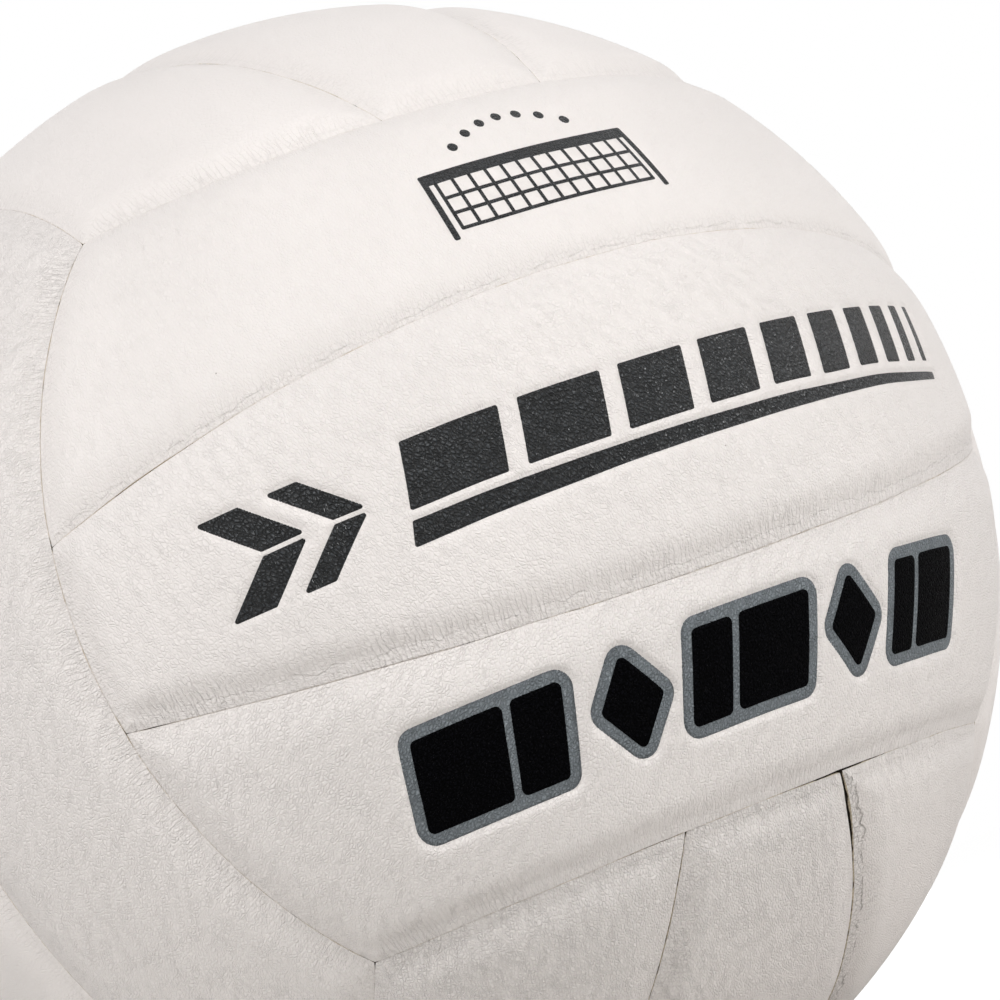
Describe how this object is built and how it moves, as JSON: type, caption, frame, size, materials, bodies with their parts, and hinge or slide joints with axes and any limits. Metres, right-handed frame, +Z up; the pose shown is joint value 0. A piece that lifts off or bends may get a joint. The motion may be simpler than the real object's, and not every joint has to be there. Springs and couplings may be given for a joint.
{
  "type": "volleyball",
  "caption": "Indoor volleyball with a puffed cover of sewn synthetic leather panels over foam and cloth, a butyl bladder and a rubber valve plug with a needle channel.",
  "frame": {"origin": "centre of the ball", "axes": "+Z up, the printed front face looks along -Y, the valve lies on +Y, and the strips of the front face run along X"},
  "size_m": [0.21, 0.2099, 0.21],
  "materials": {
    "synthetic_leather": "fine pebbled grain, satin",
    "cover_foam": "matte closed-cell foam",
    "lining_cloth": "matte woven cloth",
    "sewing_thread": "twisted polyester thread",
    "bladder_rubber": "matte butyl rubber",
    "patch_rubber": "matte cloth-backed rubber",
    "valve_rubber": "moulded rubber",
    "plug_rubber": "moulded rubber, satin"
  },
  "bodies": {
    "root": {"front_lower_panel": "synthetic_leather", "front_middle_panel": "synthetic_leather", "front_upper_panel": "synthetic_leather", "back_lower_panel": "synthetic_leather", "back_middle_panel": "synthetic_leather", "back_upper_panel": "synthetic_leather", "left_front_panel": "synthetic_leather", "left_middle_panel": "synthetic_leather", "left_back_panel": "synthetic_leather", "right_back_panel": "synthetic_leather", "right_middle_panel": "synthetic_leather", "right_front_panel": "synthetic_leather", "top_left_panel": "synthetic_leather", "top_middle_panel": "synthetic_leather", "top_right_panel": "synthetic_leather", "bottom_left_panel": "synthetic_leather", "bottom_middle_panel": "synthetic_leather", "bottom_right_panel": "synthetic_leather", "front_lower_foam": "cover_foam", "front_middle_foam": "cover_foam", "front_upper_foam": "cover_foam", "back_lower_foam": "cover_foam", "back_middle_foam": "cover_foam", "back_upper_foam": "cover_foam", "left_front_foam": "cover_foam", "left_middle_foam": "cover_foam", "left_back_foam": "cover_foam", "right_back_foam": "cover_foam", "right_middle_foam": "cover_foam", "right_front_foam": "cover_foam", "top_left_foam": "cover_foam", "top_middle_foam": "cover_foam", "top_right_foam": "cover_foam", "bottom_left_foam": "cover_foam", "bottom_middle_foam": "cover_foam", "bottom_right_foam": "cover_foam", "front_lining": "lining_cloth", "back_lining": "lining_cloth", "left_lining": "lining_cloth", "right_lining": "lining_cloth", "top_lining": "lining_cloth", "bottom_lining": "lining_cloth", "front_stitching": "sewing_thread", "back_stitching": "sewing_thread", "left_stitching": "sewing_thread", "right_stitching": "sewing_thread", "top_stitching": "sewing_thread", "bottom_stitching": "sewing_thread", "bladder": "bladder_rubber", "valve_patch": "patch_rubber", "valve_socket": "valve_rubber", "valve_plug": "plug_rubber"}
  },
  "joints": []
}
